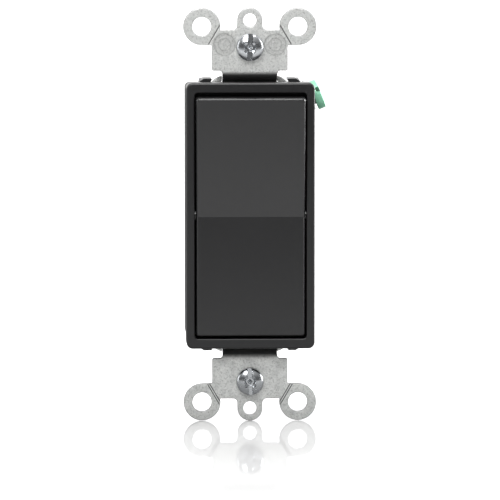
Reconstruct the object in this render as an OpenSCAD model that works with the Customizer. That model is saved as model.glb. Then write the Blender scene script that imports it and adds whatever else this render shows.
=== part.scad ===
// Rocker wall switch: single-gang, rectangular paddle style.
// X to the right seen from the room, Y into the wall, Z up, millimetres.
// Origin: midway between the two box screws, in the plane where the ears
// rest on the wall. The paddle is shown thrown one way: top out, bottom in.
// Name endings: _r radius, _w width (X), _h height (Z), _t thickness, _l length.

/* [Strap] */
// Sheet thickness of the mounting strap
strap_t = 1.2; // [1.0:0.05:1.3]
// Distance between the two box screws
box_pitch = 83.34; // [83.1:0.02:83.6]
// Distance between the two wall-plate screws
plate_pitch = 96.84; // [96.6:0.02:97.1]
// Half width of each end plate
end_half_w = 9.4; // [9.0:0.1:9.8]
// Outer radius of the break-off ears
ear_r = 4.6; // [4.4:0.05:4.8]
// Radius of the hole in each ear
ear_hole_r = 2.4; // [2.0:0.05:2.6]
// Half width of the necks between end plates and centre section
neck_half_w = 6.8; // [6.4:0.1:7.1]
// Depth of the centre section's front face behind the ears' rear face
set_back = 2.0; // [1.9:0.05:2.0]

/* [Frame] */
// Width of the frame
frame_w = 31.9; // [31.8:0.1:32.6]
// Height of the frame
frame_h = 66.1; // [65.8:0.1:66.4]
// Width of the opening for the paddle
open_w = 27.8; // [27.7:0.05:28.3]
// Height of the opening for the paddle
open_h = 61.1; // [61.0:0.1:61.8]
// How far the frame stands in front of the ears' rear face
frame_front = 6.2; // [6.0:0.1:6.4]
// Outer corner radius of the frame
frame_r = 1.6; // [1.0:0.1:2.0]

/* [Paddle] */
// Width of the paddle's face
rocker_w = 26.7; // [26.4:0.1:26.8]
// How much the paddle widens from its face to its rear edge, on each side
rocker_flare = 0.4; // [0.3:0.05:0.55]
// Half length of the paddle, from the crease to either end
rocker_half = 29.7; // [29.5:0.05:29.8]
// Slope of each half of the paddle's face, and half the paddle's throw
tilt = 3.1; // [2.9:0.05:3.2]
// Radius of the paddle's trunnions
trunnion_r = 1.45; // [1.3:0.01:1.46]

/* [Mechanism] */
// Half the throw of the contact bar
bar_tilt = 5; // [4.9:0.05:5.0]
// Radius of the plunger's guided part
plunger_r = 2.35; // [2.31:0.01:2.37]
// Number of turns in the plunger spring
spring_turns = 8; // [6:1:9]

/* [Case] */
// Depth of the case's rear face behind the ears' rear face
case_back = 25.5; // [25.3:0.1:27]
// Radius of the push-in wire holes
wire_r = 1.1; // [0.95:0.05:1.15]

/* [Hidden] */
$fn = 64;
box_z = box_pitch / 2;
plate_z = plate_pitch / 2;
mid_back = set_back + strap_t; // rear face of the strap's centre section
case_front = 3.7;
cavity_front = 3;              // the case's cuts start here, before its front face
floor_y = 16.8;                // floor of the case's cavity
pivot_y = -3.0;                // paddle pivot
crease_y = -6.5;               // crease of the paddle in its middle position
bar_y = 13.0;                  // pivot of the contact bar
brass_t = 0.8;                 // sheet thickness of contact bar and terminals
button_shank_r = 0.8;
tapped_r = 2.12;               // tapped holes for terminal and ground screws
thread_r = 2.08;               // threads of those screws
rivet_x = 11.6;
rivet_z = 23.2;
rivet_hole_r = 1.35;
term_z = 14;                   // terminal screws
term_y = 11;
wire_x = 10.25;                // push-in wire holes
wire_z = 18.8;

// ground tab, in its own frame
tab_angle = 23;                // tab direction, up from X
tab_x = 25.6;                  // outer face
ground_z = 20.5;               // ground screw
ground_y = 8;

black = [0.10, 0.10, 0.11];
brass = [0.80, 0.63, 0.32];
silver = [0.86, 0.86, 0.87];

// ---------- helpers ----------

// a flat outline drawn in X,Z, between two depths
module along_y(y0, y1) {
    translate([0, y1, 0]) rotate([90, 0, 0]) linear_extrude(y1 - y0) children();
}

// a flat outline drawn in Y,Z, between two X positions
module along_x(x0, x1) {
    translate([x0, 0, 0]) rotate([90, 0, 90]) linear_extrude(x1 - x0) children();
}

module cyl_y(r, y0, y1, x = 0, z = 0) {
    translate([x, y1, z]) rotate([90, 0, 0]) cylinder(r = r, h = y1 - y0);
}

module cyl_x(r, x0, x1, y = 0, z = 0) {
    translate([x0, y, z]) rotate([0, 90, 0]) cylinder(r = r, h = x1 - x0);
}

// rounded rectangle about the origin
module rrect(w, h, r) {
    square([w - 2 * r, h], center = true);
    square([w, h - 2 * r], center = true);
    corners(w / 2 - r, h / 2 - r) circle(r = r);
}

// flat children at the four corners of a rectangle
module corners(x, z) {
    for (sx = [-1, 1], sz = [-1, 1])
        translate([sx * x, sz * z]) children();
}

// solid children at the four rivet places
module at_rivets() {
    for (sx = [-1, 1], sz = [-1, 1])
        translate([sx * rivet_x, 0, sz * rivet_z]) children();
}

// filling of a concave corner at the origin, opening towards +x +y
module web(r) {
    overlap = 0.3;
    difference() {
        translate([-overlap, -overlap]) square(r + overlap);
        translate([r, r]) circle(r = r);
    }
}

// top and bottom
module both_ends() {
    children();
    mirror([0, 0, 1]) children();
}

// right and left, for flat or solid children
module both_sides() {
    children();
    mirror([1, 0, 0]) children();
}

// turn about an axis along X at depth y
module turn_at(y, angle) {
    translate([0, y, 0]) rotate([angle, 0, 0]) translate([0, -y, 0]) children();
}

module paddle_thrown() { turn_at(pivot_y, tilt) children(); }

module bar_thrown() { turn_at(bar_y, -bar_tilt) children(); }

// the direction square to the ground tab becomes local X
module tab_frame() { rotate([0, -tab_angle, 0]) children(); }

// ---------- strap ----------

end_z0 = 35.9;      // end plate, edge nearer the middle
end_z1 = 46.0;      // end plate, outer edge
ear_x = 11.95;
ear_z = 46.85;
tongue_r = 3.1;     // rounded tongue with the wall-plate screw hole
neck_z = 35.7;      // outer end of the neck's bend
neck_l = 3.1;       // length of the bend along Z
neck_steps = 14;

// outline of the upper end plate
module end_outline() {
    translate([0, (end_z0 + end_z1) / 2]) rrect(2 * end_half_w, end_z1 - end_z0, 0.9);
    translate([-tongue_r, 44]) square([2 * tongue_r, plate_z - 44]);
    translate([0, plate_z]) circle(r = tongue_r);
    translate([-neck_half_w, 35.6]) square([2 * neck_half_w, 3]);
    both_sides() {
        translate([ear_x, ear_z]) circle(r = ear_r);
        translate([6, ear_z - ear_r]) square([ear_x - 6, 3.8]);
        translate([tongue_r, end_z1]) web(1.1);
        translate([neck_half_w, end_z0]) mirror([0, 1]) web(0.8);
    }
}

// depth of the neck's mid-surface, u from 0 (end plate) to 1 (centre section)
function neck_y(u) = -strap_t / 2 + (set_back + strap_t) * (u * u * (3 - 2 * u));

// [y, z] on the neck's front (side = -1) or rear (side = 1) surface
function neck_point(u, side) =
    let (before = max(0, u - 0.001),
         after = min(1, u + 0.001),
         slope = (neck_y(after) - neck_y(before)) / (after - before),
         offset = side * (strap_t / 2) / norm([neck_l, slope]))
    [neck_y(u) + offset * neck_l, neck_z - neck_l * u + offset * slope];

module neck() {
    along_x(-neck_half_w, neck_half_w)
        polygon(concat([for (i = [0:neck_steps]) neck_point(i / neck_steps, -1)],
                       [for (i = [neck_steps:-1:0]) neck_point(i / neck_steps, 1)]));
}

module mid_outline() {
    slit_w = 0.28;
    difference() {
        union() {
            rrect(20, 69, 3.7);
            rrect(29.2, 63.6, 1);
        }
        rrect(18, 44, 1);
        corners(6.55, 32.75) circle(r = 0.95);
        // slits beside the necks, open at the top and bottom edges
        corners(neck_half_w + slit_w / 2, 34.4) square([slit_w, 3.2], center = true);
    }
}

// angle-shaped tab, drawn in local X,Y
module ground_tab() {
    root_x = 18.6;
    bend_r = 1.6;
    bend_x = tab_x - bend_r;
    bend_y = set_back + bend_r;
    tab_frame() translate([0, 0, 17.5]) linear_extrude(7.2) {
        translate([root_x, set_back]) square([bend_x - root_x, strap_t]);
        intersection() {
            translate([bend_x, bend_y]) difference() {
                circle(r = bend_r);
                circle(r = bend_r - strap_t);
            }
            translate([bend_x, set_back]) square(bend_r);
        }
        translate([tab_x - strap_t, bend_y]) square([strap_t, 9.9]);
    }
}

// obround slot for the upper box screw
module box_slot() {
    slot_r = 2.05;
    half_gap = 1.05;
    along_y(-3, 1) translate([0, box_z]) {
        square([2 * half_gap, 2 * slot_r], center = true);
        both_sides() translate([half_gap, 0]) circle(r = slot_r);
    }
}

// V grooves, front and rear, along which the upper right ear snaps off
module ear_score() {
    for (y = [-strap_t, 0])
        translate([8.95, y, 44.7]) rotate([0, -30, 0])
            rotate([0, 0, 45]) cube([0.42, 0.42, 7.5], center = true);
}

module strap() {
    color([0.74, 0.75, 0.75]) difference() {
        union() {
            both_ends() {
                along_y(-strap_t, 0) end_outline();
                neck();
            }
            along_y(set_back, mid_back) mid_outline();
            ground_tab();
        }
        both_ends() {
            cyl_y(1.7, -3, 1, 0, plate_z);
            box_slot();
            both_sides() {
                cyl_y(ear_hole_r, -3, 1, ear_x, ear_z);
                ear_score();
            }
        }
        // shallow coined discs on the upper plate
        both_sides() cyl_y(2.85, -strap_t - 1, -strap_t + 0.12, 6.2, 42.2);
        tab_frame() cyl_x(tapped_r, tab_x - 3, tab_x + 1, ground_y, ground_z);
        // the rivets pass here, also where the ground tab starts
        at_rivets() cyl_y(rivet_hole_r, 1, 4);
    }
}

// ---------- frame ----------

// upper right clip: its side profile cut to its front outline
module clip() {
    // [y, z]
    side_profile = [[-1.6, 32.7], [-0.6, 33.8], [8.2, 33.8], [9.0, 33.2], [9.0, 32.6],
                    [7.9, 31.1], [7.3, 31.1], [7.3, 32.4], [2.0, 32.4], [1.9, 31.5],
                    [-1.6, 31.5]];
    // [x, z]
    front_outline = [[10.0, 31], [12.6, 31], [12.6, 32.8], [11.6, 33.9], [9.4, 33.9],
                     [10.0, 32.7]];
    intersection() {
        along_x(9.3, 12.6) polygon(side_profile);
        along_y(-2, 10) polygon(front_outline);
    }
}

module frame() {
    color(black) difference() {
        union() {
            along_y(-frame_front, set_back) difference() {
                rrect(frame_w, frame_h, frame_r);
                rrect(open_w, open_h, 0.8);
            }
            // lip behind the paddle's edges
            along_y(0.4, set_back) difference() {
                rrect(open_w + 1, open_h + 1, 0.8);
                rrect(open_w - 5.1, open_h - 7.4, 1.5);
            }
            both_ends() both_sides() clip();
        }
        // pockets over the rivet heads
        at_rivets() cyl_y(2.3, 1.4, set_back + 1);
        // clearance for the bends of the strap's necks
        both_ends() along_x(-7.1, 7.1) polygon([[1.1, 33.2], [2.1, 32.3], [2.1, 33.2]]);
        // bearing holes for the paddle's trunnions
        both_sides() cyl_x(1.5, open_w / 2 - 1, open_w / 2 + 1.5, pivot_y);
    }
}

// ---------- paddle ----------

shell_back = -1.0;  // rear edge of the paddle at mid-height

// side outline in Y,Z: a shallow V from `inset` inside the face back to `back`
module paddle_side(inset, half, back) {
    front = crease_y + inset;
    rise = tan(tilt) * half;
    polygon([[front, 0], [front - rise, half], [back - rise, half],
             [back, 0], [back - rise, -half], [front - rise, -half]]);
}

// wedge that flares backwards from the upper half of the face
module flared_half() {
    half_w = rocker_w / 2;
    slope = rocker_flare / (shell_back - crease_y);
    before = 1;     // reach in front of the face
    behind = 7;     // reach behind it
    intersection() {
        translate([0, crease_y, 0]) rotate([tilt, 0, 0]) translate([0, 0, -2]) linear_extrude(34)
            polygon([[-half_w + before * slope, -before], [half_w - before * slope, -before],
                     [half_w + behind * slope, behind], [-half_w - behind * slope, behind]]);
        translate([-16, -20, 0]) cube([32, 30, 32]);
    }
}

module rocker_shell() {
    rib_x = 7.5;
    rib_t = 1;
    difference() {
        intersection() {
            along_x(-14.5, 14.5) paddle_side(0, rocker_half, shell_back);
            both_ends() flared_half();
            along_y(-10, 0) rrect(rocker_w + 2 * rocker_flare, 2 * rocker_half, 0.9);
        }
        // hollow
        along_x(-11.5, 11.5) paddle_side(1.8, rocker_half - 1.5, 3);
    }
    // rib across the middle
    along_x(-12, 12) polygon([[-5.2, -0.6], [-5.2, 0.6], [-1.4, 0.6], [-1.4, -0.6]]);
    // ribs along the paddle
    both_sides() along_x(rib_x - rib_t / 2, rib_x + rib_t / 2)
        paddle_side(1.0, rocker_half - 1.2, -2.6);
}

module rocker() {
    color([0.13, 0.13, 0.14]) paddle_thrown() difference() {
        union() {
            rocker_shell();
            // sleeve around plunger and spring
            cyl_y(3.6, -5.2, 6.0);
            both_sides() cyl_x(trunnion_r, 11.6, open_w / 2 + 1.3, pivot_y);
        }
        cyl_y(2.4, -4.3, 7);
    }
}

// ---------- plunger and spring ----------

// local Z runs from the tip towards the room
module plunger() {
    tip_r = 1.5;
    guide_z = 4.0;
    color([0.92, 0.92, 0.9]) paddle_thrown()
        translate([0, 12.57, 0]) rotate([90, 0, 0]) difference() {
            union() {
                translate([0, 0, tip_r]) sphere(r = tip_r);
                translate([0, 0, tip_r]) cylinder(r = tip_r, h = 1.2);
                translate([0, 0, guide_z - 1.4]) cylinder(r1 = tip_r, r2 = plunger_r, h = 1.4);
                translate([0, 0, guide_z]) cylinder(r = plunger_r, h = 8.07);
            }
            // bore for the spring
            translate([0, 0, 6.07]) cylinder(r = 1.75, h = 8);
        }
}

// a round strand swept ring by ring along a helix
module plunger_spring() {
    coil_r = 1.4;
    strand_r = 0.27;
    spring_l = 10.6;
    sides = 8;      // points in each ring
    step = 20;      // degrees between rings
    rings = spring_turns * 360 / step;
    points = [
        for (i = [0:rings], j = [0:sides - 1])
            let (around = j * 360 / sides,
                 reach = coil_r + strand_r * cos(around),
                 height = strand_r + (spring_l - 2 * strand_r) * i / rings)
            [reach * cos(i * step), reach * sin(i * step), height + strand_r * sin(around)]
    ];
    start_cap = [for (j = [0:sides - 1]) j];
    end_cap = [for (j = [sides - 1:-1:0]) rings * sides + j];
    skin = [
        for (i = [0:rings - 1], j = [0:sides - 1])
            let (next = (j + 1) % sides)
            [i * sides + j, (i + 1) * sides + j, (i + 1) * sides + next, i * sides + next]
    ];
    color([0.7, 0.7, 0.72]) paddle_thrown() translate([0, 6.35, 0]) rotate([90, 0, 0])
        polyhedron(points = points, faces = concat([start_cap], [end_cap], skin), convexity = 8);
}

// ---------- contacts ----------

bar_w = 4.8;
bar_l = 22;
moving_z = -9.5;
fixed_z = -9.6;
strip_y = floor_y - brass_t;    // front face of the strips on the cavity's floor

module contact_rocker() {
    color(brass) bar_thrown() difference() {
        union() {
            translate([-bar_w / 2, bar_y - brass_t / 2, -bar_l / 2]) cube([bar_w, brass_t, bar_l]);
            // stubs resting in the saddles
            both_sides() cyl_x(0.85, 2.0, 3.75, bar_y);
        }
        // the shank of the contact button is riveted through here
        cyl_y(button_shank_r, bar_y - 1, bar_y + 1, 0, moving_z);
    }
}

// domed button; local Z runs from the bar's mid-plane to the rear
module moving_contact() {
    dome_r = 4;
    dome_top = 1.3;
    color(silver) bar_thrown() translate([0, bar_y, moving_z]) rotate([-90, 0, 0]) {
        intersection() {
            translate([0, 0, brass_t / 2]) cylinder(r = 1.6, h = 2);
            translate([0, 0, dome_top - dome_r]) sphere(r = dome_r);
        }
        translate([0, 0, -brass_t / 2]) cylinder(r = button_shank_r, h = brass_t);
        translate([0, 0, -brass_t / 2 - 0.2]) cylinder(r = 1.1, h = 0.2);
    }
}

module fixed_contact() {
    color(silver) {
        cyl_y(1.7, 15.19, strip_y, 0, fixed_z);
        cyl_y(button_shank_r, strip_y, floor_y, 0, fixed_z);
    }
}

module contact_stop() {
    front = 14.41;
    color([0.16, 0.16, 0.17]) translate([-2.3, front, 8.4]) cube([4.6, floor_y - front, 3.2]);
}

// ---------- terminals ----------

// upper side plate, tapped for the terminal screw
module side_plate() {
    front = 6.5;
    difference() {
        translate([11.4, front, 10.2]) cube([brass_t, floor_y - front, 10.2]);
        cyl_x(tapped_r, 10, 13, term_y, term_z);
    }
}

module line_terminal() {
    // [x, z]
    strip = [[-3.7, -2.2], [7.2, -2.2], [7.2, 12.2], [12.2, 12.2], [12.2, 15.8],
             [4.6, 15.8], [4.6, 2.2], [-3.7, 2.2]];
    saddle_r = 0.92;
    color(brass) difference() {
        union() {
            along_y(strip_y, floor_y) polygon(strip);
            side_plate();
            both_sides() translate([2.9, 11.5, -2.1]) cube([brass_t, 5, 4.2]);
        }
        // open saddles for the contact bar's stubs
        cyl_x(saddle_r, -5, 5, bar_y);
        translate([-5, bar_y - 2, -saddle_r]) cube([10, 2, 2 * saddle_r]);
    }
}

module load_terminal() {
    // [x, z]
    strip = [[-2.4, -12.2], [12.2, -12.2], [12.2, -10.2], [7.2, -10.2], [7.2, -7.2],
             [-2.4, -7.2]];
    color(brass) difference() {
        union() {
            along_y(strip_y, floor_y) polygon(strip);
            mirror([0, 0, 1]) side_plate();
        }
        cyl_y(button_shank_r, 15, 18, 0, fixed_z);
    }
}

// bent leaf, its profile drawn in X,Y
module push_in_clip() {
    // [x, y]
    profile = [[8.05, 9], [8.4, 9], [8.4, 19.7], [8.6, 19.95], [8.85, 19.8], [11.0, 14.9],
               [11.33, 15.05], [9.15, 20.1], [8.65, 20.45], [8.25, 20.3], [8.05, 19.9]];
    color([0.66, 0.68, 0.70]) translate([0, 0, 17.1]) linear_extrude(3.3) polygon(profile);
}

module line_push_in_clip() { push_in_clip(); }
module load_push_in_clip() { mirror([0, 0, 1]) push_in_clip(); }

// ---------- case ----------

// everything beyond the flat where the ground tab lies
module tab_relief(depth) {
    tab_frame() translate([24.15, -1, 0]) cube([9, depth, 40]);
}

module insulator() {
    color([0.22, 0.21, 0.20]) difference() {
        along_y(mid_back, case_front) difference() {
            rrect(30, 62.2, 1);
            square([8.4, 9.6], center = true);
            corners(rivet_x, rivet_z) circle(r = 1.5);
        }
        tab_relief(20);
    }
}

// upper terminal room
module terminal_room() {
    room_x = 7.9;
    room_w = 4.4;
    hole_y = 21;
    // slot for the side plate, and the wire chamber behind it
    translate([room_x, cavity_front, 9.8]) cube([room_w, floor_y - cavity_front, 11.0]);
    translate([room_x, 10, 16.8]) cube([room_w, 12.0, 4.0]);
    // recess for the screw head, open to the side
    cyl_x(4.4, 12.0, 17, term_y, term_z);
    // push-in wire hole and release slot
    cyl_y(wire_r, hole_y, case_back + 1, wire_x, wire_z);
    translate([room_x, hole_y, wire_z - 1.5]) cube([0.8, case_back + 1 - hole_y, 3]);
}

// pockets in the rear face
module rear_pockets() {
    along_y(19.2, 28.2) {
        for (z = [-9, 9])
            translate([-11, z]) rrect(5, 11, 0.8);
        rrect(8, 16, 1);
    }
}

module housing() {
    color([0.11, 0.11, 0.12]) difference() {
        along_y(case_front, case_back) rrect(31.2, 64, 1.2);
        // cavity
        translate([-8, cavity_front, -19]) cube([16, floor_y - cavity_front, 38]);
        both_ends() terminal_room();
        tab_relief(40);
        // hole for the ground screw's end
        tab_frame() cyl_x(2.7, 20.4, 26, ground_y, ground_z);
        at_rivets() cyl_y(rivet_hole_r, 2, 30);
        // notches for the frame's clips
        both_ends() both_sides() translate([9.2, 6.9, 30.9]) cube([3.8, 2.4, 2]);
        rear_pockets();
    }
}

// headed at both ends, bored from the rear
module rivet() {
    head_r = 2.1;
    head_t = 0.5;
    difference() {
        union() {
            cyl_y(1.3, set_back, case_back);
            cyl_y(head_r, set_back - head_t, set_back);
            cyl_y(head_r, case_back, case_back + head_t);
        }
        cyl_y(0.8, case_back - 4, case_back + 1);
    }
}

module housing_rivets() { color([0.78, 0.78, 0.78]) at_rivets() rivet(); }

// ---------- screws ----------

// In these modules the screw's axis is local Z, with the head towards +Z.

// cutter for a straight slot
module slot(size_x, size_y, z, depth) {
    translate([-size_x / 2, -size_y / 2, z]) cube([size_x, size_y, depth]);
}

// cutter for a cross recess, its first arm turned from X
module cross_recess(arm_w, z, depth, turn = 0) {
    for (angle = [turn, turn + 90])
        rotate([0, 0, angle]) slot(3.0, arm_w, z, depth);
}

// pointed shank and bevelled flat head, the tip at the origin
module flat_screw(shank_l, head_z, head_r) {
    point_l = 0.6;
    head_t = 1.6;
    bevel = 0.5;
    cylinder(r1 = 1.5, r2 = thread_r, h = point_l);
    translate([0, 0, point_l]) cylinder(r = thread_r, h = shank_l);
    translate([0, 0, head_z]) cylinder(r = head_r, h = head_t);
    translate([0, 0, head_z + head_t]) cylinder(r1 = head_r, r2 = head_r - bevel, h = bevel);
}

module terminal_screw(z) {
    color(brass) translate([8.7, term_y, z]) rotate([0, 90, 0]) difference() {
        flat_screw(shank_l = 3.3, head_z = 3.8, head_r = 3.8);
        slot(10, 1.0, 4.9, 2);
        cross_recess(0.9, 4.3, 2);
    }
}

module ground_screw() {
    color([0.20, 0.62, 0.38]) tab_frame()
        translate([20.9, ground_y, ground_z]) rotate([0, 90, 0]) difference() {
            flat_screw(shank_l = 4.9, head_z = 5.45, head_r = 3.7);
            rotate([0, 0, 65]) slot(10, 1.1, 6.35, 3);
        }
}

// box screw: domed head, necked shank so that the washer keeps it captive
module box_screw(z) {
    // [radius, height]
    head = [[0, 0], [3.2, 0], [3.4, 0.25], [3.4, 0.7], [3.15, 1.3],
            [2.55, 1.85], [1.65, 2.2], [0.8, 2.32], [0, 2.35]];
    gap = 0.05;         // between head and strap
    thread_start = 2.15;
    thread_end = 24.3;
    shank_r = 1.75;
    color([0.80, 0.80, 0.78]) translate([0, -strap_t - gap, z]) rotate([90, 0, 0]) difference() {
        union() {
            rotate_extrude() polygon(head);
            translate([0, 0, -thread_start]) cylinder(r = 1.45, h = thread_start + 0.05);
            translate([0, 0, -thread_end]) cylinder(r = shank_r, h = thread_end - thread_start);
            translate([0, 0, -thread_end - 1]) cylinder(r1 = 1.0, r2 = shank_r, h = 1.0);
        }
        slot(1.2, 10, 1.2, 3);
        cross_recess(0.8, 0.6, 3, turn = 45);
    }
}

module screw_retainer(z) {
    color([0.62, 0.42, 0.28]) difference() {
        cyl_y(3.6, 0.05, 0.65, 0, z);
        cyl_y(1.5, -1, 2, 0, z);
    }
}

module line_screw() { terminal_screw(term_z); }
module load_screw() { terminal_screw(-term_z); }
module top_mount_screw() { box_screw(box_z); }
module bottom_mount_screw() { box_screw(-box_z); }
module top_screw_retainer() { screw_retainer(box_z); }
module bottom_screw_retainer() { screw_retainer(-box_z); }

strap();
frame();
rocker();
plunger();
plunger_spring();
contact_rocker();
moving_contact();
fixed_contact();
line_terminal();
load_terminal();
contact_stop();
line_screw();
load_screw();
line_push_in_clip();
load_push_in_clip();
insulator();
housing();
housing_rivets();
top_mount_screw();
bottom_mount_screw();
top_screw_retainer();
bottom_screw_retainer();
ground_screw();
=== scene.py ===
# A paddle switch on a steel mounting strap: X runs across, Z up, and the front faces -Y.
# Sizes are in millimetres until a vertex is made. Materials, lights and camera use metres.
import math
from bisect import bisect_left

import bpy
import bmesh
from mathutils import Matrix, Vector, noise
from mathutils.geometry import delaunay_2d_cdt


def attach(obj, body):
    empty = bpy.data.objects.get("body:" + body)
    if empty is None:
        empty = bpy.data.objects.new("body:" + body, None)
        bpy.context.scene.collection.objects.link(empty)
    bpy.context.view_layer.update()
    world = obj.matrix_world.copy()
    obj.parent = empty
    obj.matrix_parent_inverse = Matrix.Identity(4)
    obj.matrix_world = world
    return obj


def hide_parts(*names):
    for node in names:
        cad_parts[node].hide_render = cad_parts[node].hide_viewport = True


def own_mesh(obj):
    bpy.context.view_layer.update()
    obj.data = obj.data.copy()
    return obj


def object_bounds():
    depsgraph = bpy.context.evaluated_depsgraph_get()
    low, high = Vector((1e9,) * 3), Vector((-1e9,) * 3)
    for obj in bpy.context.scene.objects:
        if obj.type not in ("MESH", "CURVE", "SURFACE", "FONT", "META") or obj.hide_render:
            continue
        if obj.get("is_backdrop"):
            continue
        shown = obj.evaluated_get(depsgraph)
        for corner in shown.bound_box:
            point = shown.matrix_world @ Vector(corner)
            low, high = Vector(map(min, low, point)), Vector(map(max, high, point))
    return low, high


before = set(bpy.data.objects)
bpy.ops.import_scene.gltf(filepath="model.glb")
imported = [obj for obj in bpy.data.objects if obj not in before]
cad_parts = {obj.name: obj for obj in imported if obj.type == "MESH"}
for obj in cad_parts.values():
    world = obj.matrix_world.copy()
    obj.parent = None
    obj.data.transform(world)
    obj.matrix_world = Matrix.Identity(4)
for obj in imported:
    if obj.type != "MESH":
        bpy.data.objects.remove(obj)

MILLI = 0.001
CAD_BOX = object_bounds()

# ---------------------------------------------------------------- shared sizes
STRAP_T = 1.2                           # sheet thickness
BOX_Z = 41.67                           # box screws, above and below the middle
PLATE_Z = 48.42                         # small hole near each end
MID_FRONT, MID_BACK = 2.0, 3.2          # the strap's centre section in Y
MID_Y = (MID_FRONT + MID_BACK) / 2
RIVET_X, RIVET_Z = 11.6, 23.2
PIVOT_Y, TILT = -3.0, math.radians(3.1)  # the paddle leans about an X axis at this Y
TAB_ANGLE = math.radians(23)            # direction the ground tab leaves the strap, from X to Z
GROUND_ALONG, GROUND_Y = 20.5, 8.0      # ground screw, along the tab's bend line and in Y


# ---------------------------------------------------------------- objects
def link_object(name, data):
    piece = bpy.data.objects.new(name, data)
    bpy.context.scene.collection.objects.link(piece)
    return piece


def new_object(name, mesh, material):
    data = bpy.data.meshes.new(name)
    bmesh.ops.recalc_face_normals(mesh, faces=mesh.faces)
    mesh.to_mesh(data)
    mesh.free()
    piece = link_object(name, data)
    data.materials.append(material)
    return piece


def smooth(piece, angle, weighted=True):
    """Shade smooth, with edges of this many degrees or more kept sharp."""
    data = piece.data
    for face in data.polygons:
        face.use_smooth = True
    mesh = bmesh.new()
    mesh.from_mesh(data)
    limit = math.radians(angle)
    for edge in mesh.edges:
        if len(edge.link_faces) == 2:
            edge.smooth = edge.calc_face_angle(0) < limit
    mesh.to_mesh(data)
    mesh.free()
    if weighted:
        modifier = piece.modifiers.new("weighted", "WEIGHTED_NORMAL")
        modifier.keep_sharp = True
        modifier.weight = 60
    return piece


def join(name, parts):
    """One object from several, with one slot for each material."""
    materials = []
    for part in parts:
        for material in part.data.materials:
            if material not in materials:
                materials.append(material)
    mesh = bmesh.new()
    for part in parts:
        slots = [materials.index(material) for material in part.data.materials]
        known = len(mesh.faces)
        mesh.from_mesh(part.data)
        mesh.faces.ensure_lookup_table()
        for face in mesh.faces[known:]:
            face.material_index = slots[face.material_index]
    data = bpy.data.meshes.new(name)
    mesh.to_mesh(data)
    mesh.free()
    for material in materials:
        data.materials.append(material)
    piece = link_object(name, data)
    for part in parts:
        bpy.data.objects.remove(part)
    return piece


def register(piece, body, node):
    """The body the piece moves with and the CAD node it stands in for."""
    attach(piece, body)
    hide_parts(node)


# ---------------------------------------------------------------- outlines
def arc(x, y, radius, start, end, step=6.0):
    """Points on an arc; angles in degrees."""
    count = max(2, int(math.ceil(abs(end - start) / step)))
    angles = [math.radians(start + (end - start) * i / count) for i in range(count + 1)]
    return [(x + radius * math.cos(angle), y + radius * math.sin(angle)) for angle in angles]


def clean(points):
    """Drop repeated points from a closed outline."""
    kept = []
    for point in points:
        if not kept or math.dist(kept[-1], point) > 1e-5:
            kept.append(point)
    if math.dist(kept[0], kept[-1]) < 1e-5:
        kept.pop()
    return kept


def densify(points, step):
    """Split the sides of a closed outline so that none is longer than step."""
    dense = []
    for i, (x, y) in enumerate(points):
        end = points[(i + 1) % len(points)]
        count = max(1, int(math.ceil(math.dist((x, y), end) / step)))
        for j in range(count):
            dense.append((x + (end[0] - x) * j / count, y + (end[1] - y) * j / count))
    return dense


def rounded_rect(width, height, radius, step):
    x, y = width / 2 - radius, height / 2 - radius
    return clean(arc(x, -y, radius, -90, 0, step) + arc(x, y, radius, 0, 90, step)
                 + arc(-x, y, radius, 90, 180, step) + arc(-x, -y, radius, 180, 270, step))


def circle(x, y, radius, count):
    return [(x + radius * math.cos(math.tau * i / count),
             y + radius * math.sin(math.tau * i / count)) for i in range(count)]


def obround(x, y, half_length, half_height):
    reach = half_length - half_height
    return clean(arc(x + reach, y, half_height, -90, 90, 7)
                 + arc(x - reach, y, half_height, 90, 270, 7))


def mirror_x(points):
    return [(-x, y) for x, y in reversed(points)]


def corner_normals(points, is_hole):
    """For each corner, the unit vector out of the solid and its mitre length."""
    count = len(points)
    area = sum(points[i][0] * points[(i + 1) % count][1]
               - points[(i + 1) % count][0] * points[i][1] for i in range(count))
    sign = 1.0 if area > 0 else -1.0
    if is_hole:
        sign = -sign
    normals = []
    for i in range(count):
        before, corner = Vector(points[i - 1]), Vector(points[i])
        after = Vector(points[(i + 1) % count])
        side_in, side_out = (corner - before).normalized(), (after - corner).normalized()
        normal_in = Vector((side_in.y, -side_in.x)) * sign
        middle = normal_in + Vector((side_out.y, -side_out.x)) * sign
        if middle.length < 1e-6:
            middle = normal_in
        middle.normalize()
        normals.append((middle, min(1.8, 1.0 / max(0.3, middle.dot(normal_in)))))
    return normals


def inset(points, normals, amount):
    return [(point[0] - normal.x * mitre * amount, point[1] - normal.y * mitre * amount)
            for point, (normal, mitre) in zip(points, normals)]


def inside(point, loops):
    """Even-odd test against several closed loops."""
    x, y = point
    result = False
    for points in loops:
        j = len(points) - 1
        for i in range(len(points)):
            xi, yi = points[i]
            xj, yj = points[j]
            if (yi > y) != (yj > y) and x < (xj - xi) * (y - yi) / (yj - yi) + xi:
                result = not result
            j = i
    return result


def segment_distance(point, start, end):
    dx, dy = end[0] - start[0], end[1] - start[1]
    from_x, from_y = point[0] - start[0], point[1] - start[1]
    share = max(0, min(1, (from_x * dx + from_y * dy) / (dx * dx + dy * dy)))
    return math.hypot(from_x - share * dx, from_y - share * dy)


def smoothstep(x):
    x = max(0.0, min(1.0, x))
    return x * x * (3 - 2 * x)


# ---------------------------------------------------------------- slabs
CAP_GAP = 0.11          # extra cap points keep at least this far from the rims


def bridge(mesh, first, second, flip=False):
    """Quads between two closed rows of vertices; flip turns their winding round."""
    for i in range(len(first)):
        j = (i + 1) % len(first)
        if flip:
            mesh.faces.new((first[i], first[j], second[j], second[i]))
        else:
            mesh.faces.new((first[i], second[i], second[j], first[j]))


def bridge_rows(mesh, rows, flip=False):
    for first, second in zip(rows, rows[1:]):
        bridge(mesh, first, second, flip)


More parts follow.
